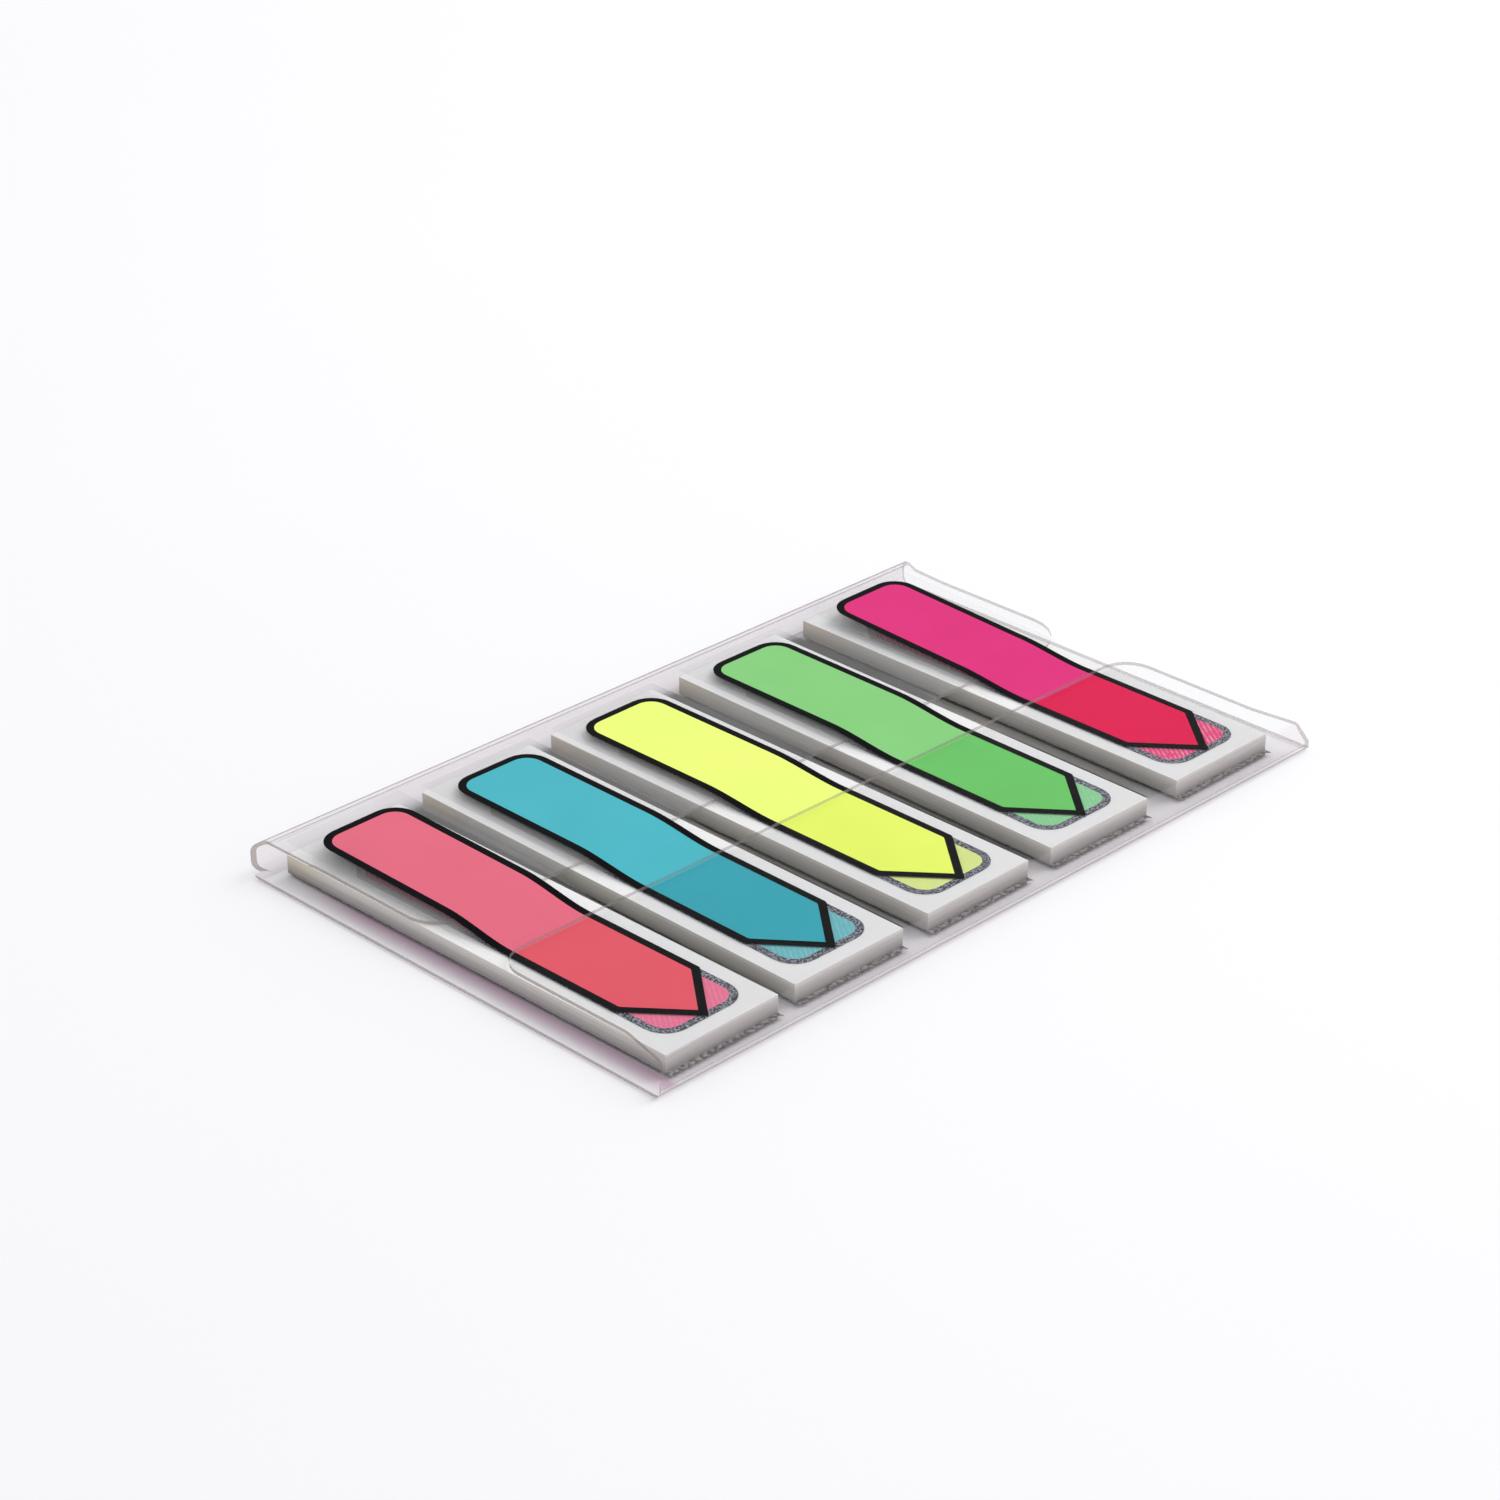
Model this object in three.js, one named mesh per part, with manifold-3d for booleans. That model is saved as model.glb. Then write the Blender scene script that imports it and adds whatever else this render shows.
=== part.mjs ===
// Sticky index tabs: five stacks of arrow flags side by side in a folded clear plastic dispenser.
// Millimetres. X runs along the row of stacks, Y along the flags (arrow tips at -Y), Z up.
// The origin is the middle of the underside, on the surface that the dispenser lies on.

import * as THREE from "three";
import { mergeVertices } from "three/addons/utils/BufferGeometryUtils.js";
import Module from "manifold-3d";

const wasm = await Module();
wasm.setup();

// Stacks of flags
const flagLength = 43.2;
const flagWidth = 11.9;
const stackThickness = 1.58;
const stackGap = 3.03;

// Dispenser sheet, and the margins that its base keeps around the row of stacks
const sheetThickness = 0.3;
const nearMargin = 1.75;
const farMargin = 3.63;
const frontMargin = 2.08;
const backMargin = 1.88;

// Box fold along the back edge, behind the tail ends: it stands higher at the near end, where the flap's
// corner springs up and slopes down over a longer run
const foldHeightNear = 3.1;
const foldHeightFar = 2.6;
const foldTopRadius = 0.75;
const foldBottomRadius = 1.1;
const foldTopDepth = 1.0;
const foldSlopeRun = 0.8;
const foldSlopeRunNear = 4.5;
const foldSpringLength = 12;
const foldSlopeRadius = 0.35;

// Tight crease along the front edge, ahead of the stacks' ends
const creaseHeight = 1.0;
const creaseRiseRun = 0.85;
const creaseRiseRadius = 0.5;

// Flaps: how far the front one reaches over the stacks, and the slit that the back one leaves to it,
// at the near and at the far end of the row
const frontFlapReachNear = 20.4;
const frontFlapReachFar = 19.6;
const slitWidthNear = 6.96;
const slitWidthFar = 6.36;
const flapRootInset = 0.1;
const flapShoulderInset = 1.1;
const flapShoulderRun = 0.8;
const flapInsetNear = 2.2;
const backFlapInsetFar = 0.65;
const frontFlapInsetFar = 1.15;
const flapCornerRadius = 2.8;
const backFlapCornerRadiusFar = 4.5;
const flapTaperRun = 5.5;
const flapTaperRadius = 4.5;

// Tape that holds each stack down, with its cut edge showing ahead of the stack
const tapeThickness = 0.05;
const tapeOverhang = 0.6;
const tapeToothPitch = 0.79;
const tapeToothDepth = 0.28;

// Film of the top flag, and its print
const filmThickness = 0.08;
const inkThickness = 0.02;
const layerClearance = 0.015;
const printMargin = 1.45;
const printTipMargin = 1.5;
const printTipLength = 5.4;
const printCornerRadius = 2.2;
const printShoulderRadius = 0.5;
const outlineWidth = 0.7;

// Bend of the top flag, from just past the front flap's edge up through the slit and over the back flap
const bendEdgeDistance = 0.5;
const bendLength = 7.7;
const bendSteps = 12;
const tailSteps = 3;

// Clearances
const flapRest = 0.04;
const flapOverPrint = 0.1;

// Units of the hand-made differences between the stacks: how far one sits from its even place,
// and how far a top flag's tail half stands off its stack
const shiftDistance = 0.5;
const tailHeight = 0.6;

// Points on an arc, the distance at which vertices count as one, and how far the cutting prisms reach
const arcSteps = 6;
const mergeDistance = 1e-5;
const cutterHeight = 40;
const cutterDepth = 1;

// The stacks from the near end of the row: colour, shift across and along in units of shiftDistance, turn in
// degrees, and how far the tail half stands off just past the slit and at its end, in units of tailHeight
const row = [
  { name: "coral", colour: 0xe6647a, across: 1.1, along: -0.4, turn: 0.5, lift: 1.42, endLift: 1.92 },
  { name: "teal", colour: 0x45afbe, across: -0.4, along: -0.14, turn: -0.4, lift: 1.0, endLift: 0.92 },
  { name: "yellow", colour: 0xe9fb70, across: -0.9, along: 0.08, turn: 0.2, lift: 0.87, endLift: 0.87 },
  { name: "green", colour: 0x7dd07d, across: -0.8, along: 0.06, turn: -0.5, lift: 0.97, endLift: 0.92 },
  { name: "magenta", colour: 0xe42d68, across: 1.0, along: 0.38, turn: -0.1, lift: 1.0, endLift: 2.08 },
];

// Levels and places that follow from the sizes above
const baseTop = sheetThickness;
const stackBottom = baseTop + tapeThickness;
const stackTop = stackBottom + stackThickness;
const nextInkBottom = stackTop + layerClearance;
const filmBottom = nextInkBottom + inkThickness + layerClearance;
const filmInkBottom = filmBottom + filmThickness + layerClearance;
const printTop = filmInkBottom + inkThickness;
const pitch = flagWidth + stackGap;
const baseWidth = nearMargin + row.length * pitch - stackGap + farMargin;
const baseDepth = frontMargin + flagLength + backMargin;
const backFlapReachNear = baseDepth - frontFlapReachNear - slitWidthNear;
const backFlapReachFar = baseDepth - frontFlapReachFar - slitWidthFar;
const frontY = -baseDepth / 2;
const backY = baseDepth / 2;
const stackCentreY = frontY + frontMargin + flagLength / 2;
const bendStart = frontY + Math.max(frontFlapReachNear, frontFlapReachFar) + bendEdgeDistance - stackCentreY;
const bendEnd = bendStart + bendLength;
const printWidth = flagWidth - 2 * printMargin;
const printLength = flagLength - printMargin - printTipMargin;

function toSolid(geometry) {
  const bare = geometry.clone();
  bare.deleteAttribute("normal");
  bare.deleteAttribute("uv");
  const merged = mergeVertices(bare, mergeDistance);
  return new wasm.Manifold(new wasm.Mesh({
    numProp: 3,
    vertProperties: new Float32Array(merged.attributes.position.array),
    triVerts: new Uint32Array(merged.index.array),
  }));
}

function toGeometry(solid) {
  const mesh = solid.getMesh();
  const geometry = new THREE.BufferGeometry();
  geometry.setAttribute("position", new THREE.BufferAttribute(new Float32Array(mesh.vertProperties), 3));
  geometry.setIndex(new THREE.BufferAttribute(new Uint32Array(mesh.triVerts), 1));
  geometry.computeVertexNormals();
  return geometry;
}

// Prism over a plan outline given as [x, y] points, from zLow up
function planPrism(points, zLow, height) {
  const shape = new THREE.Shape(points.map(([x, y]) => new THREE.Vector2(x, y)));
  const geometry = new THREE.ExtrudeGeometry(shape, { depth: height, bevelEnabled: false });
  geometry.translate(0, 0, zLow);
  return geometry;
}

// Prism along X over a side outline given as [y, z] points
function sidePrism(points, xLow, length) {
  const shape = new THREE.Shape(points.map(([y, z]) => new THREE.Vector2(y, z)));
  const geometry = new THREE.ExtrudeGeometry(shape, { depth: length, bevelEnabled: false });
  const axes = new THREE.Matrix4().makeBasis(
    new THREE.Vector3(0, 1, 0),
    new THREE.Vector3(0, 0, 1),
    new THREE.Vector3(1, 0, 0),
  );
  geometry.applyMatrix4(axes);
  geometry.translate(xLow, 0, 0);
  return geometry;
}

// Points of a path through corners { at: [a, b], radius }, each corner rounded to its radius
function roundedPath(corners, closed = false) {
  const points = [];
  const count = corners.length;
  corners.forEach((corner, i) => {
    const here = new THREE.Vector2(...corner.at);
    const atEnd = !closed && (i === 0 || i === count - 1);
    if (atEnd || !corner.radius) {
      points.push(here.toArray());
      return;
    }
    const before = new THREE.Vector2(...corners[(i + count - 1) % count].at);
    const after = new THREE.Vector2(...corners[(i + 1) % count].at);
    const toBefore = before.sub(here).normalize();
    const toAfter = after.sub(here).normalize();
    const half = Math.acos(toBefore.dot(toAfter)) / 2;
    const start = here.clone().addScaledVector(toBefore, corner.radius / Math.tan(half));
    const inward = toBefore.clone().add(toAfter).normalize();
    const centre = here.clone().addScaledVector(inward, corner.radius / Math.sin(half));
    const side = Math.sign(toAfter.cross(toBefore));
    const sweep = side * (Math.PI - 2 * half);
    for (let k = 0; k <= arcSteps; k += 1) {
      points.push(start.clone().rotateAround(centre, (sweep * k) / arcSteps).toArray());
    }
  });
  return points;
}

// Closed outline of a sheet of even thickness whose middle line follows the points
function sheetOutline(middle, thickness) {
  const left = [];
  const right = [];
  middle.forEach((point, i) => {
    const here = new THREE.Vector2(...point);
    const back = i > 0 ? here.clone().sub(new THREE.Vector2(...middle[i - 1])).normalize() : null;
    const ahead = i < middle.length - 1
      ? new THREE.Vector2(...middle[i + 1]).sub(here).normalize()
      : null;
    const along = (back ?? ahead).clone().add(ahead ?? back).normalize();
    const mitre = back && ahead ? along.dot(ahead) : 1;
    const normal = new THREE.Vector2(-along.y, along.x).multiplyScalar(thickness / 2 / mitre);
    left.push(here.clone().add(normal).toArray());
    right.push(here.clone().sub(normal).toArray());
  });
  return [...left, ...right.reverse()];
}

// Solid through side outlines [y, z] of as many points each, placed along X as { x, points }
function loft(sections) {
  const flat = (points) => points.map(([y, z]) => new THREE.Vector2(y, z));
  const turned = THREE.ShapeUtils.isClockWise(flat(sections[0].points));
  const rings = sections.map(({ x, points }) => ({ x, points: turned ? points.slice().reverse() : points }));
  const count = rings[0].points.length;
  const positions = rings.flatMap(({ x, points }) => points.flatMap(([y, z]) => [x, y, z]));
  const index = [];
  for (let s = 0; s + 1 < rings.length; s += 1) {
    for (let i = 0; i < count; i += 1) {
      const next = (i + 1) % count;
      const near = [s * count + i, s * count + next];
      const far = near.map((v) => v + count);
      index.push(near[0], near[1], far[1], near[0], far[1], far[0]);
    }
  }
  const last = (rings.length - 1) * count;
  const cap = (ring) => THREE.ShapeUtils.triangulateShape(flat(ring.points), []);
  cap(rings[0]).forEach(([a, b, c]) => index.push(a, c, b));
  cap(rings[rings.length - 1]).forEach(([a, b, c]) => index.push(last + a, last + b, last + c));
  const geometry = new THREE.BufferGeometry();
  geometry.setAttribute("position", new THREE.BufferAttribute(new Float32Array(positions), 3));
  geometry.setIndex(index);
  return geometry;
}

// The sheet from the side: back flap, box fold, base, crease and front flap, in one run
function sleeveMiddle(foldHeight, slopeRun) {
  const half = sheetThickness / 2;
  const backFlapLevel = stackTop + flapRest + half;
  const frontFlapLevel = printTop + flapOverPrint + half;
  const wallY = backY - half;
  const creaseY = frontY + half;
  const creaseRadius = (creaseHeight - sheetThickness) / 2;
  const foldLevel = foldHeight - half;
  const backFlapEnd = backY - Math.max(backFlapReachNear, backFlapReachFar);
  const frontFlapEnd = frontY + Math.max(frontFlapReachNear, frontFlapReachFar);
  return roundedPath([
    { at: [backFlapEnd, backFlapLevel] },
    { at: [wallY - foldTopDepth - slopeRun, backFlapLevel], radius: foldSlopeRadius },
    { at: [wallY - foldTopDepth, foldLevel], radius: foldSlopeRadius },
    { at: [wallY, foldLevel], radius: foldTopRadius },
    { at: [wallY, half], radius: foldBottomRadius },
    { at: [creaseY, half], radius: creaseRadius },
    { at: [creaseY, creaseHeight - half], radius: creaseRadius },
    { at: [creaseY + creaseRiseRun, frontFlapLevel], radius: creaseRiseRadius },
    { at: [frontFlapEnd, frontFlapLevel] },
  ]);
}

// Plan of what a flap keeps: its sides draw in from the base's width, and its free corners are round
function flapPlan(rootY, insetFar, cornerRadiusFar, freeYNear, freeYFar) {
  const near = -baseWidth / 2;
  const far = baseWidth / 2;
  const inward = Math.sign(freeYNear - rootY);
  const beyond = rootY - inward * flapTaperRun;
  const shoulderY = rootY + inward * flapShoulderRun;
  const taperY = rootY + inward * flapTaperRun;
  const shoulderShare = flapShoulderInset / flapInsetNear;
  return roundedPath([
    { at: [near + flapRootInset, beyond] },
    { at: [near + flapRootInset, rootY] },
    { at: [near + flapShoulderInset, shoulderY] },
    { at: [near + flapInsetNear, taperY], radius: flapTaperRadius },
    { at: [near + flapInsetNear, freeYNear], radius: flapCornerRadius },
    { at: [far - insetFar, freeYFar], radius: cornerRadiusFar },
    { at: [far - insetFar, taperY], radius: flapTaperRadius },
    { at: [far - shoulderShare * insetFar, shoulderY] },
    { at: [far - flapRootInset, rootY] },
    { at: [far - flapRootInset, beyond] },
  ], true);
}

function sleeve() {
  const springShare = foldSpringLength / baseWidth;
  const springHeight = THREE.MathUtils.lerp(foldHeightNear, foldHeightFar, springShare);
  const section = (x, foldHeight, slopeRun) => (
    { x, points: sheetOutline(sleeveMiddle(foldHeight, slopeRun), sheetThickness) }
  );
  const body = toSolid(loft([
    section(-baseWidth / 2, foldHeightNear, foldSlopeRunNear),
    section(-baseWidth / 2 + foldSpringLength, springHeight, foldSlopeRun),
    section(baseWidth / 2, foldHeightFar, foldSlopeRun),
  ]));
  const backPlan = flapPlan(
    backY,
    backFlapInsetFar,
    backFlapCornerRadiusFar,
    backY - backFlapReachNear,
    backY - backFlapReachFar,
  );
  const frontPlan = flapPlan(
    frontY,
    frontFlapInsetFar,
    flapCornerRadius,
    frontY + frontFlapReachNear,
    frontY + frontFlapReachFar,
  );
  const kept = toSolid(planPrism(backPlan, baseTop, cutterHeight))
    .add(toSolid(planPrism(frontPlan, baseTop, cutterHeight)));
  const wide = [
    [-baseWidth, -baseDepth],
    [baseWidth, -baseDepth],
    [baseWidth, baseDepth],
    [-baseWidth, baseDepth],
  ];
  const trimmed = toSolid(planPrism(wide, baseTop, cutterHeight)).subtract(kept);
  return toGeometry(body.subtract(trimmed));
}

// Arrow outline in plan, drawn in by inset: round tail corners at +Y, tip at -Y
function arrowPlan(inset) {
  const halfWidth = printWidth / 2 - inset;
  const tail = printLength / 2 - inset;
  const tipY = -printLength / 2;
  const shoulderY = tipY + printTipLength;
  const slant = Math.atan2(printTipLength, printWidth / 2);
  const tipInset = inset / Math.cos(slant);
  const shoulderInset = inset * Math.tan(slant);
  const cornerRadius = printCornerRadius - inset;
  return roundedPath([
    { at: [0, tipY + tipInset] },
    { at: [halfWidth, shoulderY + tipInset - shoulderInset], radius: printShoulderRadius },
    { at: [halfWidth, tail], radius: cornerRadius },
    { at: [-halfWidth, tail], radius: cornerRadius },
    { at: [-halfWidth, shoulderY + tipInset - shoulderInset], radius: printShoulderRadius },
  ], true);
}

// Height of the top flag above its rest, at a distance along the flag from its middle
function liftAt(y, flag) {
  if (y <= bendStart) return 0;
  if (y >= bendEnd) {
    const share = (y - bendEnd) / (flagLength / 2 - bendEnd);
    return tailHeight * THREE.MathUtils.lerp(flag.lift, flag.endLift, share);
  }
  return tailHeight * flag.lift * THREE.MathUtils.smoothstep(y, bendStart, bendEnd);
}

// Side outline of a layer that follows the top flag, between two heights over the stack
function bentOutline(flag, zLow, thickness) {
  const tailRun = flagLength / 2 - bendEnd;
  const stations = [-flagLength / 2];
  for (let k = 0; k <= bendSteps; k += 1) stations.push(bendStart + (bendLength * k) / bendSteps);
  for (let k = 1; k <= tailSteps; k += 1) stations.push(bendEnd + (tailRun * k) / tailSteps);
  const low = stations.map((y) => [y, zLow + liftAt(y, flag)]);
  const high = stations.map((y) => [y, zLow + thickness + liftAt(y, flag)]);
  return [...low, ...high.reverse()];
}

function stack() {
  const geometry = new THREE.BoxGeometry(flagWidth, flagLength, stackThickness);
  geometry.translate(0, 0, stackBottom + stackThickness / 2);
  return geometry;
}

// Tape under the stack, a little ahead of its front end, with a toothed cut edge
function tape() {
  const left = -flagWidth / 2;
  const front = -flagLength / 2 - tapeOverhang;
  const teeth = Math.round(flagWidth / tapeToothPitch);
  const points = [[-left, flagLength / 2], [left, flagLength / 2]];
  for (let k = 0; k <= 2 * teeth; k += 1) {
    const depth = k % 2 ? tapeToothDepth : 0;
    points.push([left + (flagWidth * k) / (2 * teeth), front + depth]);
  }
  return planPrism(points, baseTop, tapeThickness);
}

function topFlag(flag) {
  return sidePrism(bentOutline(flag, filmBottom, filmThickness), -flagWidth / 2, flagWidth);
}

function bentInk(flag) {
  return toSolid(sidePrism(bentOutline(flag, filmInkBottom, inkThickness), -flagWidth / 2, flagWidth));
}

function arrowField(flag) {
  const inner = toSolid(planPrism(arrowPlan(outlineWidth), 0, cutterHeight));
  return toGeometry(bentInk(flag).intersect(inner));
}

function arrowOutline(flag) {
  const outer = toSolid(planPrism(arrowPlan(0), 0, cutterHeight));
  const inner = toSolid(planPrism(arrowPlan(outlineWidth), -cutterDepth, cutterHeight + 2 * cutterDepth));
  return toGeometry(bentInk(flag).intersect(outer.subtract(inner)));
}

// The next flag of the stack lies under the top one, turned end for end
function nextField() {
  const geometry = planPrism(arrowPlan(outlineWidth), nextInkBottom, inkThickness);
  geometry.rotateZ(Math.PI);
  return geometry;
}

function nextOutline() {
  const outer = toSolid(planPrism(arrowPlan(0), nextInkBottom, inkThickness));
  const inner = toSolid(planPrism(arrowPlan(outlineWidth), 0, cutterHeight));
  const geometry = toGeometry(outer.subtract(inner));
  geometry.rotateZ(Math.PI);
  return geometry;
}

const clearPlastic = { color: 0xdfe3e4, roughness: 0.08, metalness: 0, transparent: true, opacity: 0.35 };
const clearFilm = { color: 0xe8eaea, roughness: 0.25, metalness: 0, transparent: true, opacity: 0.35 };
const flagEdges = { color: 0xdcdddc, roughness: 0.55, metalness: 0 };
const tapeGrey = { color: 0x77746f, roughness: 0.7, metalness: 0 };
const blackInk = { color: 0x0d0c0f, roughness: 0.4, metalness: 0 };
const dullBlackInk = { color: 0x3c3f48, roughness: 0.5, metalness: 0 };
const paleShare = 0.25;

function piece(name, geometry, look) {
  const mesh = new THREE.Mesh(geometry, new THREE.MeshStandardMaterial(look));
  mesh.name = name;
  return mesh;
}

function glossyInk(colour) {
  return { color: colour, roughness: 0.35, metalness: 0 };
}

function paleInk(colour) {
  const pale = new THREE.Color(colour).lerp(new THREE.Color(0xffffff), paleShare);
  return { color: pale, roughness: 0.5, metalness: 0 };
}

const indexTabs = new THREE.Group();
indexTabs.add(piece("dispenser_sleeve", sleeve(), clearPlastic));

row.forEach((flag, k) => {
  const place = new THREE.Group();
  const evenX = -baseWidth / 2 + nearMargin + flagWidth / 2 + k * pitch;
  place.position.set(evenX + shiftDistance * flag.across, stackCentreY + shiftDistance * flag.along, 0);
  place.rotation.z = THREE.MathUtils.degToRad(flag.turn);
  place.add(
    piece(`tape_${flag.name}`, tape(), tapeGrey),
    piece(`stack_${flag.name}`, stack(), flagEdges),
    piece(`next_print_${flag.name}`, nextField(), paleInk(flag.colour)),
    piece(`next_outline_${flag.name}`, nextOutline(), dullBlackInk),
    piece(`top_flag_${flag.name}`, topFlag(flag), clearFilm),
    piece(`arrow_print_${flag.name}`, arrowField(flag), glossyInk(flag.colour)),
    piece(`arrow_outline_${flag.name}`, arrowOutline(flag), blackInk),
  );
  indexTabs.add(place);
});

export default indexTabs;
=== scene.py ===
"""Sticky index tabs in a folded clear plastic dispenser, lying on a pale table."""
import math

import bmesh
import bpy
from mathutils import Matrix, Vector


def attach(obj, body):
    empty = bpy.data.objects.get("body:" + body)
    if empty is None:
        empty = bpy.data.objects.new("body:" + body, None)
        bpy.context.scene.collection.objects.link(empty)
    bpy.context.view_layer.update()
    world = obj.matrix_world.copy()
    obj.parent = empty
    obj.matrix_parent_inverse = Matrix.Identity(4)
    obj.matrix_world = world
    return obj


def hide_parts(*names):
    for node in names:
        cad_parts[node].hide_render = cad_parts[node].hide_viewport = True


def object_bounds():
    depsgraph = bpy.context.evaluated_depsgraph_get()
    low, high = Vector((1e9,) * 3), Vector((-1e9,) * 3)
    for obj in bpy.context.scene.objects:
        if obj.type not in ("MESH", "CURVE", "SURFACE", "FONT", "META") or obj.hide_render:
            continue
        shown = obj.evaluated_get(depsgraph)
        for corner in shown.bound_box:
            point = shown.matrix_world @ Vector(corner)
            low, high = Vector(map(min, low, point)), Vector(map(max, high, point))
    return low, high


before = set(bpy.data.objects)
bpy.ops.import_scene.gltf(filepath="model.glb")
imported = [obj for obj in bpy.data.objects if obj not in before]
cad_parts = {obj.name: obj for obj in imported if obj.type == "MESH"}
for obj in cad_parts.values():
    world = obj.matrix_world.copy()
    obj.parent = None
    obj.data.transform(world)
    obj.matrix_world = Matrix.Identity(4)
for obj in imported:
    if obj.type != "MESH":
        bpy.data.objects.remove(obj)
cad_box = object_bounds()

MM = 0.001
MICRON = 0.001 * MM
COLOURS = ("coral", "teal", "yellow", "green", "magenta")

# Camera, fitted to the flags' corners in the photograph
IMAGE_SIZE = 1500
FOCAL_PIXELS = 3929.0
SENSOR_WIDTH = 36.0
CAMERA_AZIMUTH = math.radians(-45.15)
CAMERA_ELEVATION = math.radians(27.74)
CAMERA_ROLL = math.radians(-0.12)
CAMERA_DISTANCE = 334.8 * MM
CAMERA_TARGET = Vector((5.05, 10.30, 0.0)) * MM
CLIP_NEAR = 0.01
CLIP_FAR = 20.0

# Key light and surroundings, in metres and watts
KEY_PLACE = (0.55, -0.1, 0.6)
KEY_SIZE = (0.5, 0.5)
KEY_WATTS = 2.8
WORLD_COLOUR = (0.99, 0.985, 1.0)
WORLD_DIM = 0.57
WORLD_BRIGHT = 1.02
WORLD_TURN = 0.8
FLOOR_SIZE = 4.0
FLOOR_DROP = 0.02 * MM
FLOOR_TONES = ((0.925, 0.925, 0.94), (0.935, 0.935, 0.94))
FLOOR_CLOUD_SCALE = 9

# Colours of each print: the tail half in the open, paler with a painted sheen of the bright surroundings,
# and the tip half pressed flat under the front flap
SHEENED_TAIL_INK = {
    "coral": (0.76, 0.152, 0.222),
    "teal": (0.075, 0.462, 0.538),
    "yellow": (0.83, 1.00, 0.205),
    "green": (0.238, 0.612, 0.207),
    "magenta": (0.72, 0.036, 0.205),
}
TIP_INK = {
    "coral": (0.79, 0.104, 0.140),
    "teal": (0.044, 0.382, 0.462),
    "yellow": (0.83, 0.975, 0.148),
    "green": (0.155, 0.574, 0.139),
    "magenta": (0.765, 0.012, 0.085),
}

# Print of the next flag: its colours, and the screen of pale dashes that breaks them
PALE_INK = {
    "coral": (0.92, 0.16, 0.31),
    "teal": (0.12, 0.52, 0.58),
    "yellow": (0.80, 0.93, 0.27),
    "green": (0.25, 0.70, 0.31),
    "magenta": (0.90, 0.02, 0.20),
}
SCREEN_SHARE = {"coral": 0.3, "teal": 0.5, "yellow": 0.3, "green": 0.3, "magenta": 1.0}
SCREEN_ANGLE = math.radians(35)
SCREEN_SCALE = 800
DASH_LEVELS = (0.45, 0.75)
DASH_BREAKS = 1700
PAPER_TONE = 0.9
PAPER_SHARE = 0.4

# Noise of every material: the range of its values, and the clouds that make a colour uneven
NOISE_RANGE = (0.3, 0.7)
CLOUD_SCALE = 140
CLOUD_SHARES = (0.97, 1.02)

# Inks
INK_GLOSS = 0.02
INK_GRAIN = 2500
INK_GRAIN_DEPTH = 4 * MICRON
BLACK = (0.002, 0.002, 0.003)
DULL_BLACK = (0.012, 0.013, 0.024)
BLACK_SPECK = (0.34, 0.36, 0.42)
SPECK_SCALE = 6000
SPECK_LEVELS = (0.48, 0.56)
HIDDEN_LINE = (0.60, 0.54, 0.57)

# Stack, film and tape
FILM_TINT = (0.99, 0.99, 0.99)
LAYER_SCALE = 9000
LAYER_STRETCH = (0.004, 0.004, 1.0)
LAYER_DEPTH = 30 * MICRON
# Side walls of the stacks: dark at the foot with painted shade, paler at the head
SHADED_WALL_FOOT = ((0.29, 0.28, 0.27), (0.38, 0.37, 0.355))
WALL_HEAD = ((0.72, 0.70, 0.66), (0.84, 0.82, 0.775))
WARM_WALL = (1.0, 0.93, 0.82)
STACK_TOP = (0.90, 0.90, 0.895)
STACK_GLOW = (1.0, 0.9, 0.75)
# Tape: mottled, dark with painted shade under the stacks' front ends
TAPE_TONES_WITH_PAINTED_SHADE = ((0.06, 0.055, 0.05), (0.34, 0.33, 0.31))
MOTTLE_SCALE = 2600
MOTTLE_LEVELS = (0.42, 0.6)
TAPE_GRAIN = 3000
TAPE_GRAIN_DEPTH = 30 * MICRON

# Clear plastic
PLASTIC_IOR = 1.49
SHEET_TINT = (0.98, 0.981, 0.982)
# Painted shadow: rosy tone of the base beside the nearest stack
ROSY_PAINTED_SHADOW = (0.925, 0.86, 0.90)
# Painted shade: darker tone of the base between the stacks
GAP_PAINTED_SHADE = (0.82, 0.815, 0.80)
PALE_EDGE = (0.74, 0.71, 0.705)
BROWN_EDGE = (0.52, 0.46, 0.43)
BASE_EDGE = (0.56, 0.49, 0.54)
FOLD_TINT = (0.958, 0.945, 0.953)
# Painted shade of the folds where they turn away from the eye
FOLD_PAINTED_SHADE = (0.50, 0.46, 0.48)
CLEAR_HAZE = 0.0015
BACK_FLAP_HAZE = 0.06
HAZE_COLOUR = (0.8, 0.8, 0.8)
EDGE_HAZE_COLOUR = (0.72, 0.69, 0.67)
FOLD_HAZE_COLOUR = (0.85, 0.82, 0.84)
HAZE_CLOUD_SCALE = 70
HAZE_CLOUD_SHARES = (0.8, 1.2)

# Places where a tone changes: each pair goes from where the tone starts to where it is full
LEFT, FRONT = cad_box[0].x, cad_box[0].y
RIGHT, BACK = cad_box[1].x, cad_box[1].y
LOW_SHEET = (0.45 * MM, 0.40 * MM)
# Where the base's rosy painted shadow lies
ROSY_FROM_LEFT = (LEFT + 0.5 * MM, LEFT + 1.9 * MM)
ROSY_TO_STACK = (LEFT + 2.4 * MM, LEFT + 2.3 * MM)
ROSY_TO_BACK = (FRONT + 44 * MM, FRONT + 36 * MM)
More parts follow.
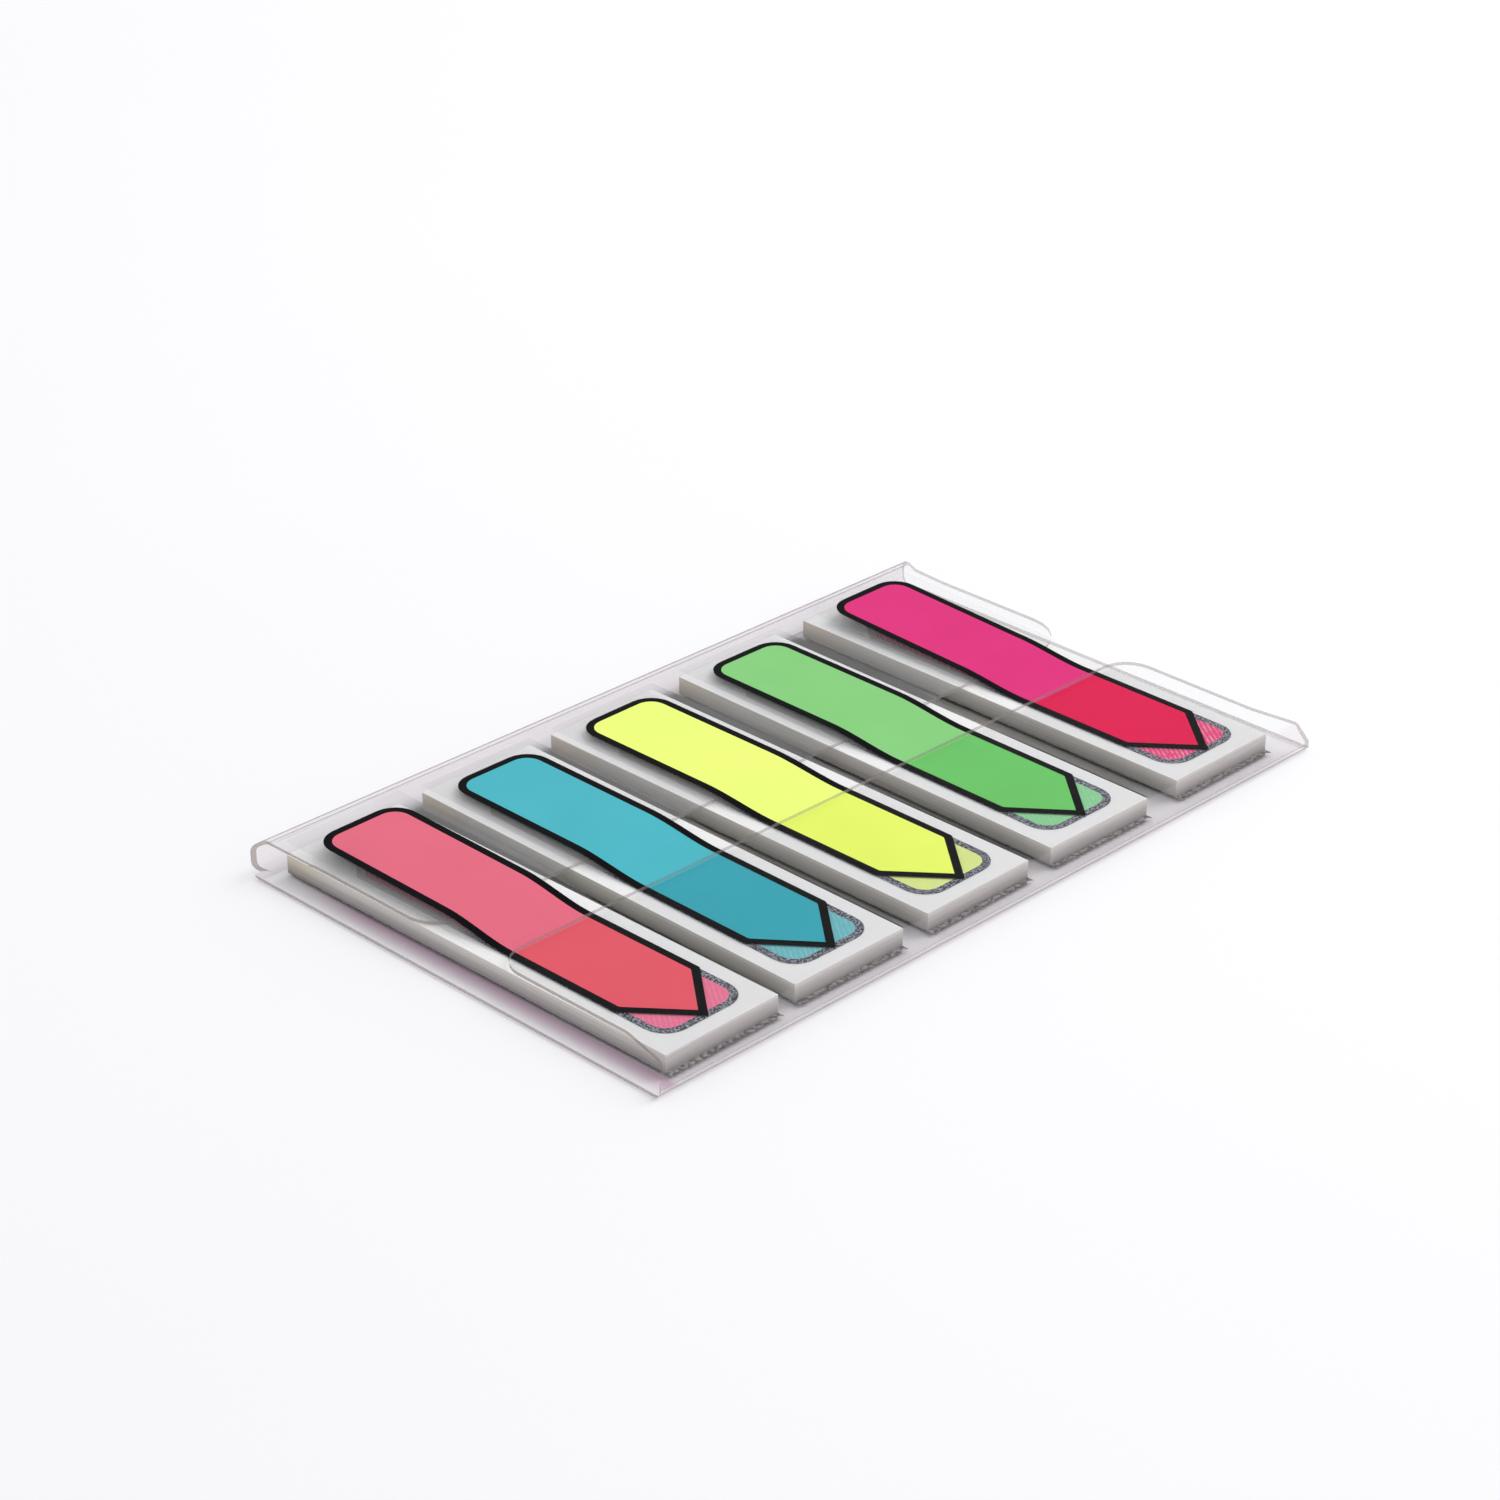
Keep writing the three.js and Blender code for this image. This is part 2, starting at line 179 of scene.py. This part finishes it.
# Where the base's painted shade between the stacks lies
GAPS_FROM_LEFT = (LEFT + 8 * MM, LEFT + 9 * MM)
GAPS_FROM_FRONT = (FRONT + 2 * MM, FRONT + 7 * MM)
GAPS_TO_RIGHT = (RIGHT - 7.5 * MM, RIGHT - 9.5 * MM)
BACK_FLAP_HEIGHT = (1.4 * MM, 1.5 * MM)
BACK_FLAP_PLACE = (2.0 * MM, 2.2 * MM)
NEAR_SIDE = (LEFT + 5 * MM, LEFT + 3.5 * MM)
EDGE_ABOVE_BASE = (0.40 * MM, 0.45 * MM)
WALL_HEIGHT = (0.40 * MM, 1.95 * MM)
WALL_WARM_BACK = (15 * MM, 20 * MM)
UNDER_TAIL = (0.0, 4 * MM)

# Slants where a tone changes: Fresnel share of the folds, and upward part of the stacks' normals
FOLD_TURN = (0.10, 0.35)
UPWARD = (0.4, 0.6)

# Front flap's free edge, as in the CAD: distance from the front of the base at the near and the far end
FLAP_EDGE_NEAR = 20.4 * MM
FLAP_EDGE_FAR = 19.6 * MM

# Faces of the sheet: what is upright, and how far the flat parts, the box fold and the crease reach
CUT_LEVEL = 0.1
FLAT_REACH = 20 * MM
FOLD_REACH = 1.9 * MM
CREASE_REACH = 1.3 * MM
WELD_DISTANCE = MICRON
FLAT_ANGLE = math.radians(1)
SHARP_ANGLE = math.radians(35)


# Materials

class Shader:
    """A material with one Principled shader, and short calls that add and link its nodes."""

    def __init__(self, name):
        self.material = bpy.data.materials.new(name)
        self.material.use_nodes = True
        self.tree = self.material.node_tree
        self.tree.nodes.clear()
        self.out = self.tree.nodes.new("ShaderNodeOutputMaterial")
        self.bsdf = self.tree.nodes.new("ShaderNodeBsdfPrincipled")
        self.link(self.bsdf.outputs["BSDF"], self.out.inputs["Surface"])
        self.place = self.node("ShaderNodeTexCoord").outputs["Object"]

    def node(self, kind, **values):
        made = self.tree.nodes.new(kind)
        for key, value in values.items():
            if key in made.inputs:
                made.inputs[key].default_value = value
            else:
                setattr(made, key, value)
        return made

    def link(self, source, target):
        self.tree.links.new(source, target)

    def feed(self, value, target):
        """Sets a socket to a number or a colour, or links the output that gives its value."""
        if isinstance(value, bpy.types.NodeSocket):
            self.link(value, target)
        elif isinstance(value, tuple):
            target.default_value = (*value, 1)
        else:
            target.default_value = value

    def set(self, **values):
        for key, value in values.items():
            self.bsdf.inputs[key.replace("_", " ")].default_value = value

    def paint(self, colour):
        self.feed(colour, self.bsdf.inputs["Base Color"])

    def noise(self, scale, detail=3.0, stretch=(1, 1, 1), roughness=0.5):
        mapping = self.node("ShaderNodeMapping", Scale=stretch)
        self.link(self.place, mapping.inputs["Vector"])
        noise = self.node("ShaderNodeTexNoise", Scale=scale, Detail=detail, Roughness=roughness)
        self.link(mapping.outputs["Vector"], noise.inputs["Vector"])
        return noise.outputs["Fac"]

    def axis(self, name):
        """One coordinate of the place on the object, in metres of the CAD frame."""
        split = self.node("ShaderNodeSeparateXYZ")
        self.link(self.place, split.inputs["Vector"])
        return split.outputs[name]

    def ramp(self, value, start, end, low=0.0, high=1.0):
        """Goes from low to high while the value goes from start to end."""
        limits = {"From Min": start, "From Max": end, "To Min": low, "To Max": high}
        made = self.node("ShaderNodeMapRange", **limits)
        self.link(value, made.inputs["Value"])
        return made.outputs["Result"]

    def spread(self, value, low=0.0, high=1.0):
        """Stretches a noise value to the range from low to high."""
        return self.ramp(value, *NOISE_RANGE, low, high)

    def blend(self, factor, first, second, how="MIX"):
        """Mixes two colours, or the outputs that give them."""
        made = self.node("ShaderNodeMix", data_type="RGBA", blend_type=how)
        self.link(factor, made.inputs["Factor"])
        self.feed(first, made.inputs["A"])
        self.feed(second, made.inputs["B"])
        return made.outputs["Result"]

    def math(self, operation, first, second):
        made = self.node("ShaderNodeMath", operation=operation)
        self.feed(first, made.inputs[0])
        self.feed(second, made.inputs[1])
        return made.outputs["Value"]

    def product(self, first, *others):
        for other in others:
            first = self.math("MULTIPLY", first, other)
        return first

    def slant(self):
        """Fresnel share of the surface, the same from inside the sheet as from outside."""
        inside = self.node("ShaderNodeNewGeometry").outputs["Backfacing"]
        fresnel = self.node("ShaderNodeFresnel")
        self.link(self.ramp(inside, 0, 1, PLASTIC_IOR, 1 / PLASTIC_IOR), fresnel.inputs["IOR"])
        return fresnel.outputs["Fac"]

    def bump(self, height, distance, strength):
        made = self.node("ShaderNodeBump", Strength=strength, Distance=distance)
        self.link(height, made.inputs["Height"])
        self.link(made.outputs["Normal"], self.bsdf.inputs["Normal"])


def uneven(s, colour):
    """The colour with slight cloudy unevenness."""
    darker, lighter = (tuple(min(1.0, share * c) for c in colour) for share in CLOUD_SHARES)
    return s.blend(s.spread(s.noise(CLOUD_SCALE, 4.0)), darker, lighter)


def see_through(name, tint, shine, haze, roughness, bump_scale, bump_depth, haze_colour=HAZE_COLOUR):
    """A thin clear sheet: it lets light straight through, reflects a share of it at a slant, and has haze.

    Tint is a colour and haze a number, or else each is a function that gives its nodes.
    """
    s = Shader(name)
    s.paint(haze_colour)
    s.set(Roughness=roughness, IOR=PLASTIC_IOR)
    s.bump(s.noise(bump_scale, 2.0), bump_depth, 0.5)
    clear = s.node("ShaderNodeBsdfTransparent")
    s.feed(tint(s) if callable(tint) else tint, clear.inputs["Color"])
    cloud = s.spread(s.noise(HAZE_CLOUD_SCALE), *HAZE_CLOUD_SHARES)
    veil = s.product(cloud, haze(s) if callable(haze) else haze)
    total = s.node("ShaderNodeMath", operation="MULTIPLY_ADD", use_clamp=True)
    for socket, value in zip(total.inputs, (s.slant(), shine, veil)):
        s.feed(value, socket)
    mix = s.node("ShaderNodeMixShader")
    s.link(total.outputs["Value"], mix.inputs["Fac"])
    s.link(clear.outputs["BSDF"], mix.inputs[1])
    s.link(s.bsdf.outputs["BSDF"], mix.inputs[2])
    s.link(mix.outputs["Shader"], s.out.inputs["Surface"])
    return s.material


def base_tint_and_painted_shade(s):
    """Tone of the flat sheet: clear, with a rosy painted shadow beside the nearest stack and painted shade
    between the stacks.
    """
    across, along = s.axis("X"), s.axis("Y")
    low = s.ramp(s.axis("Z"), *LOW_SHEET)
    beside = s.product(s.ramp(across, *ROSY_FROM_LEFT), s.ramp(across, *ROSY_TO_STACK))
    rosy = s.product(beside, low, s.ramp(along, *ROSY_TO_BACK))
    between = s.product(s.ramp(across, *GAPS_FROM_LEFT), s.ramp(across, *GAPS_TO_RIGHT))
    shaded = s.product(between, low, s.ramp(along, *GAPS_FROM_FRONT))
    return s.blend(shaded, s.blend(rosy, SHEET_TINT, ROSY_PAINTED_SHADOW), GAP_PAINTED_SHADE)


def flap_haze(s):
    """Haze of the flat sheet: next to none, and a thin milky veil in the back flap."""
    raised = s.ramp(s.axis("Z"), *BACK_FLAP_HEIGHT)
    at_back = s.ramp(s.axis("Y"), *BACK_FLAP_PLACE)
    return s.ramp(s.product(raised, at_back), 0, 1, CLEAR_HAZE, BACK_FLAP_HAZE)


def edge_tint(s):
    """Tone of the cut edges: on the near side brown in the flaps and plum in the base, pale elsewhere."""
    side = s.blend(s.ramp(s.axis("Z"), *EDGE_ABOVE_BASE), BASE_EDGE, BROWN_EDGE)
    return s.blend(s.ramp(s.axis("X"), *NEAR_SIDE), PALE_EDGE, side)


def fold_tint_and_painted_shade(s):
    """Tone of the folds: clear where they face the eye, greyer with painted shade where they turn away."""
    return s.blend(s.ramp(s.slant(), *FOLD_TURN), FOLD_TINT, FOLD_PAINTED_SHADE)


def flag_stack():
    """Milky films: a pale top, and side walls with painted shade that darkens them towards the base, with
    fine layer lines.
    """
    s = Shader("flag_stack")
    layers = s.noise(LAYER_SCALE, 2.0, stretch=LAYER_STRETCH)
    lines = s.spread(layers)
    height = s.ramp(s.axis("Z"), *WALL_HEIGHT)
    wall = s.blend(height, s.blend(lines, *SHADED_WALL_FOOT), s.blend(lines, *WALL_HEAD))
    warm = s.blend(s.ramp(s.axis("Y"), *WALL_WARM_BACK), wall, WARM_WALL, "MULTIPLY")
    normal = s.node("ShaderNodeSeparateXYZ")
    s.link(s.node("ShaderNodeNewGeometry").outputs["Normal"], normal.inputs["Vector"])
    s.paint(s.blend(s.ramp(normal.outputs["Z"], *UPWARD), warm, uneven(s, STACK_TOP)))
    s.set(Roughness=0.45, Subsurface_Weight=0.2, Subsurface_Scale=0.6 * MM, Subsurface_Radius=STACK_GLOW)
    s.bump(layers, LAYER_DEPTH, 0.4)
    return s.material


def ink(name, tones, roughness=0.35):
    """Printed colour. Tones is a colour, or a function that gives its nodes."""
    s = Shader(name)
    s.paint(tones(s) if callable(tones) else uneven(s, tones))
    s.set(Roughness=roughness, Specular_IOR_Level=INK_GLOSS)
    s.bump(s.noise(INK_GRAIN, 2.0), INK_GRAIN_DEPTH, 0.3)
    return s.material


def tones_with_painted_sheen(s, name):
    """Colour of a top flag: paler with a painted sheen where the tail lies in the open, deeper where the
    front flap presses the film onto the flags below.
    """
    edge = s.ramp(s.axis("X"), LEFT, RIGHT, FRONT + FLAP_EDGE_NEAR, FRONT + FLAP_EDGE_FAR)
    in_the_open = s.math("GREATER_THAN", s.axis("Y"), edge)
    return s.blend(in_the_open, uneven(s, TIP_INK[name]), uneven(s, SHEENED_TAIL_INK[name]))


def halftone_ink(name, colour, screen):
    """Printed colour broken by a screen of slanting pale dashes."""
    s = Shader(name)
    mapping = s.node("ShaderNodeMapping", Rotation=(0, 0, SCREEN_ANGLE))
    s.link(s.place, mapping.inputs["Vector"])
    lines = s.node("ShaderNodeTexWave", Scale=SCREEN_SCALE, Distortion=1.5, **{"Detail Scale": 3.0})
    s.link(mapping.outputs["Vector"], lines.inputs["Vector"])
    breaks = s.spread(s.noise(DASH_BREAKS, 2.0))
    dashes = s.product(s.ramp(lines.outputs["Fac"], *DASH_LEVELS), breaks, screen)
    paler = tuple(c + (PAPER_TONE - c) * PAPER_SHARE for c in colour)
    s.paint(s.blend(dashes, colour, paler))
    s.set(Roughness=0.5, Specular_IOR_Level=INK_GLOSS)
    return s.material


def dull_black():
    """The next flag's outline: black broken by fine pale specks, and faint under the top flag's tail."""
    s = Shader("dull_black_ink")
    specks = s.ramp(s.noise(SPECK_SCALE, 2.0, roughness=0.6), *SPECK_LEVELS)
    speckled = s.blend(specks, DULL_BLACK, BLACK_SPECK)
    s.paint(s.blend(s.ramp(s.axis("Y"), *UNDER_TAIL), speckled, HIDDEN_LINE))
    s.set(Roughness=0.5, Specular_IOR_Level=INK_GLOSS)
    s.bump(specks, INK_GRAIN_DEPTH, 0.3)
    return s.material


def tape_with_painted_shade():
    """Mottled tape, its darkness partly painted shade of the gap under the stacks' front ends."""
    s = Shader("tape")
    s.paint(s.blend(s.ramp(s.noise(MOTTLE_SCALE), *MOTTLE_LEVELS), *TAPE_TONES_WITH_PAINTED_SHADE))
    s.set(Roughness=0.6)
    s.bump(s.noise(TAPE_GRAIN), TAPE_GRAIN_DEPTH, 0.5)
    return s.material


def dress_nodes():
    """Gives every CAD node that the scene keeps its material."""
    film = see_through(
        "flag_film", FILM_TINT, shine=0.08, haze=0.03, roughness=0.4,
        bump_scale=200, bump_depth=4 * MICRON,
    )
    shared = {
        "stack": flag_stack(),
        "tape": tape_with_painted_shade(),
        "top_flag": film,
        "arrow_outline": ink("black_ink", BLACK, 0.4),
        "next_outline": dull_black(),
    }
    for name in COLOURS:
        looks = {
            **shared,
            "arrow_print": ink(f"{name}_ink", lambda s: tones_with_painted_sheen(s, name)),
            "next_print": halftone_ink(f"{name}_ink_pale", PALE_INK[name], SCREEN_SHARE[name]),
        }
        for part, look in looks.items():
            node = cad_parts[f"{part}_{name}"]
            node.data.materials.clear()
            node.data.materials.append(look)


# The dispenser

def is_cut_face(face):
    """Whether a face is a cut edge of the sheet: upright, and not the wall of a fold."""
    upright = abs(face.normal.z) < CUT_LEVEL
    return upright and (abs(face.normal.x) > CUT_LEVEL or abs(face.calc_center_median().y) < FLAT_REACH)


def is_in_fold(face):
    """Whether a face belongs to the box fold along the back or the crease along the front."""
    along = [vertex.co.y for vertex in face.verts]
    return min(along) > BACK - FOLD_REACH or max(along) < FRONT + CREASE_REACH


def dispenser_sheet():
    """The folded sheet with smooth folds, and materials of its own for the cut edges and the folds."""
    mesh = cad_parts["dispenser_sleeve"].data.copy()
    sheet = bpy.data.objects.new("folded_sheet", mesh)
    bpy.context.scene.collection.objects.link(sheet)
    flat = see_through(
        "sleeve_plastic", base_tint_and_painted_shade, shine=0.03, haze=flap_haze, roughness=0.15,
        bump_scale=90, bump_depth=10 * MICRON,
    )
    cut = see_through(
        "sleeve_cut_edge", edge_tint, shine=0.3, haze=0.25, roughness=0.2,
        bump_scale=900, bump_depth=20 * MICRON, haze_colour=EDGE_HAZE_COLOUR,
    )
    fold = see_through(
        "sleeve_fold", fold_tint_and_painted_shade, shine=0.6, haze=0.02, roughness=0.3,
        bump_scale=160, bump_depth=3 * MICRON, haze_colour=FOLD_HAZE_COLOUR,
    )
    looks = (flat, cut, fold)
    mesh.materials.clear()
    for look in looks:
        mesh.materials.append(look)
    bm = bmesh.new()
    bm.from_mesh(mesh)
    bmesh.ops.remove_doubles(bm, verts=bm.verts, dist=WELD_DISTANCE)
    bmesh.ops.dissolve_limit(bm, angle_limit=FLAT_ANGLE, verts=bm.verts, edges=bm.edges)
    for face in bm.faces:
        face.smooth = True
        if is_cut_face(face):
            face.material_index = looks.index(cut)
        elif is_in_fold(face):
            face.material_index = looks.index(fold)
        else:
            face.material_index = looks.index(flat)
    bm.to_mesh(mesh)
    bm.free()
    mesh.set_sharp_from_angle(angle=SHARP_ANGLE)
    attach(sheet, "root")
    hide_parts("dispenser_sleeve")


# Stage, light and camera

def stage():
    """White table top under the dispenser."""
    bpy.ops.mesh.primitive_plane_add(size=FLOOR_SIZE, location=(0, 0, -FLOOR_DROP))
    floor = bpy.context.object
    floor.name = "floor"
    s = Shader("floor_white")
    s.paint(s.blend(s.spread(s.noise(FLOOR_CLOUD_SCALE, 2.0)), *FLOOR_TONES))
    s.set(Roughness=0.6, Specular_IOR_Level=0.1)
    floor.data.materials.append(s.material)


def world_light():
    """Pale surroundings, brighter on the side of the row's far end."""
    world = bpy.data.worlds.new("studio")
    bpy.context.scene.world = world
    world.use_nodes = True
    tree = world.node_tree
    background = tree.nodes["Background"]
    split = tree.nodes.new("ShaderNodeSeparateXYZ")
    tree.links.new(tree.nodes.new("ShaderNodeTexCoord").outputs["Generated"], split.inputs["Vector"])
    level = tree.nodes.new("ShaderNodeMapRange")
    level.inputs["From Min"].default_value = -WORLD_TURN
    level.inputs["From Max"].default_value = WORLD_TURN
    level.inputs["To Min"].default_value = WORLD_DIM
    level.inputs["To Max"].default_value = WORLD_BRIGHT
    tree.links.new(split.outputs["X"], level.inputs["Value"])
    tree.links.new(level.outputs["Result"], background.inputs["Strength"])
    background.inputs["Color"].default_value = (*WORLD_COLOUR, 1)


def key_light():
    """Soft key light that faces the dispenser."""
    data = bpy.data.lights.new("key", "AREA")
    data.shape = "RECTANGLE"
    data.size, data.size_y = KEY_SIZE
    data.energy = KEY_WATTS
    lamp = bpy.data.objects.new("key", data)
    bpy.context.scene.collection.objects.link(lamp)
    lamp.location = KEY_PLACE
    lamp.rotation_euler = (-Vector(KEY_PLACE)).to_track_quat("-Z", "Y").to_euler()


def camera():
    """Camera at the photograph's viewing angle."""
    data = bpy.data.cameras.new("camera")
    made = bpy.data.objects.new("camera", data)
    bpy.context.scene.collection.objects.link(made)
    back = Vector((
        math.sin(CAMERA_AZIMUTH) * math.cos(CAMERA_ELEVATION),
        -math.cos(CAMERA_AZIMUTH) * math.cos(CAMERA_ELEVATION),
        math.sin(CAMERA_ELEVATION),
    ))
    level = Vector((0, 0, 1)).cross(back).normalized()
    right = level * math.cos(CAMERA_ROLL) + back.cross(level) * math.sin(CAMERA_ROLL)
    axes = Matrix((right, back.cross(right), back)).transposed().to_4x4()
    made.matrix_world = Matrix.Translation(CAMERA_TARGET + back * CAMERA_DISTANCE) @ axes
    data.sensor_width = SENSOR_WIDTH
    data.lens = FOCAL_PIXELS / IMAGE_SIZE * SENSOR_WIDTH
    data.clip_start = CLIP_NEAR
    data.clip_end = CLIP_FAR
    bpy.context.scene.camera = made


dress_nodes()
dispenser_sheet()
stage()
world_light()
key_light()
camera()
bpy.context.scene.view_settings.view_transform = "Standard"
